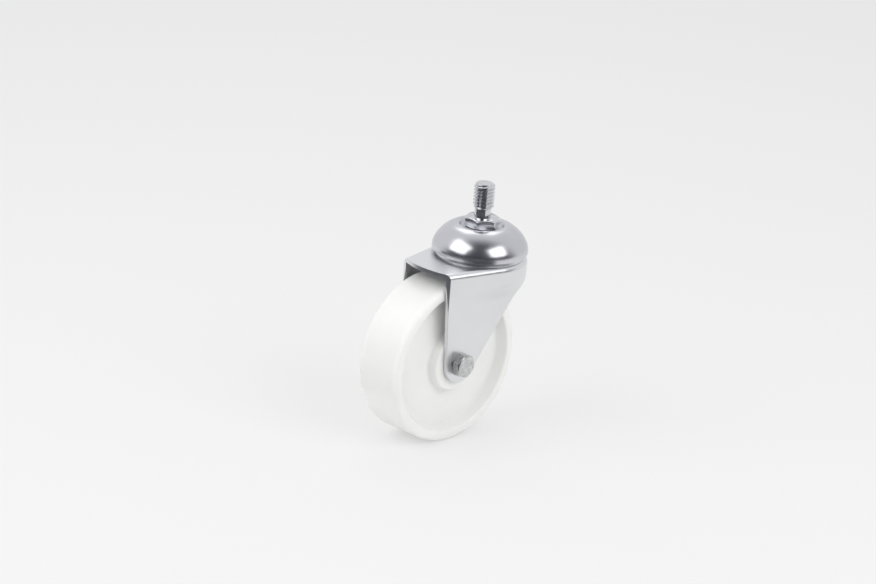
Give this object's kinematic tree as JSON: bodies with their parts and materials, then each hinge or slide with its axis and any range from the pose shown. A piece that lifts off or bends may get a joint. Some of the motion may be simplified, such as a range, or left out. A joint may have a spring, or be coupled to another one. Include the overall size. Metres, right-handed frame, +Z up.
{
  "type": "threaded-stem swivel castor",
  "caption": "Swivel castor with a threaded stem, a hex collar, a domed ball-race cup, a pressed steel fork and a solid white plastic wheel.",
  "frame": {"origin": "on the swivel axis, in the plane of the hex collar's top face where the stem seats", "axes": "+Z up along the swivel axis towards the stem's end; the wheel trails towards -X; the axle is along Y, with its bolt head on the -Y side"},
  "size_m": [0.109, 0.0592, 0.153],
  "materials": {
    "bolt_steel": "bright zinc plate",
    "dome_plate": "polished bright zinc plate",
    "fork_zinc": "satin zinc plate",
    "race_steel": "turned steel",
    "ball_steel": "polished steel",
    "white_nylon": "moulded, semi-gloss",
    "insert_nylon": "moulded"
  },
  "bodies": {
    "root": {"king_bolt": "bolt_steel", "collar_washer": "bolt_steel", "upper_race_cup": "dome_plate", "lower_race_cup": "race_steel"},
    "upper_ball_ring": {"upper_ball_01": "ball_steel", "upper_ball_02": "ball_steel", "upper_ball_03": "ball_steel", "upper_ball_04": "ball_steel", "upper_ball_05": "ball_steel", "upper_ball_06": "ball_steel", "upper_ball_07": "ball_steel", "upper_ball_08": "ball_steel", "upper_ball_09": "ball_steel", "upper_ball_10": "ball_steel", "upper_ball_11": "ball_steel", "upper_ball_12": "ball_steel", "upper_ball_13": "ball_steel", "upper_ball_14": "ball_steel", "upper_ball_15": "ball_steel", "upper_ball_16": "ball_steel", "upper_ball_17": "ball_steel", "upper_ball_18": "ball_steel"},
    "lower_ball_ring": {"lower_ball_01": "ball_steel", "lower_ball_02": "ball_steel", "lower_ball_03": "ball_steel", "lower_ball_04": "ball_steel", "lower_ball_05": "ball_steel", "lower_ball_06": "ball_steel", "lower_ball_07": "ball_steel", "lower_ball_08": "ball_steel", "lower_ball_09": "ball_steel", "lower_ball_10": "ball_steel", "lower_ball_11": "ball_steel", "lower_ball_12": "ball_steel", "lower_ball_13": "ball_steel"},
    "fork_body": {"fork": "fork_zinc", "axle_bolt": "bolt_steel", "axle_tube": "race_steel", "nut_washer": "bolt_steel", "axle_nut": "bolt_steel", "nut_insert": "insert_nylon"},
    "wheel_body": {"wheel": "white_nylon"}
  },
  "joints": [
    {"name": "swivel", "type": "hinge", "parent": "root", "child": "fork_body", "pos_m": [0, 0, -0.023], "axis": [0, 0, 1], "continuous": true},
    {"name": "wheel_spin", "type": "hinge", "parent": "fork_body", "child": "wheel_body", "pos_m": [-0.03, 0, -0.082], "axis": [0, 1, 0], "continuous": true},
    {"name": "upper_balls_orbit", "type": "hinge", "parent": "root", "child": "upper_ball_ring", "pos_m": [0, 0, -0.0148], "axis": [0, 0, 1], "continuous": true},
    {"name": "lower_balls_orbit", "type": "hinge", "parent": "root", "child": "lower_ball_ring", "pos_m": [0, 0, -0.0181], "axis": [0, 0, 1], "continuous": true}
  ],
  "couplings": [
    {"joint": "upper_balls_orbit", "follows": "swivel", "ratio": 0.5},
    {"joint": "lower_balls_orbit", "follows": "swivel", "ratio": 0.5}
  ]
}
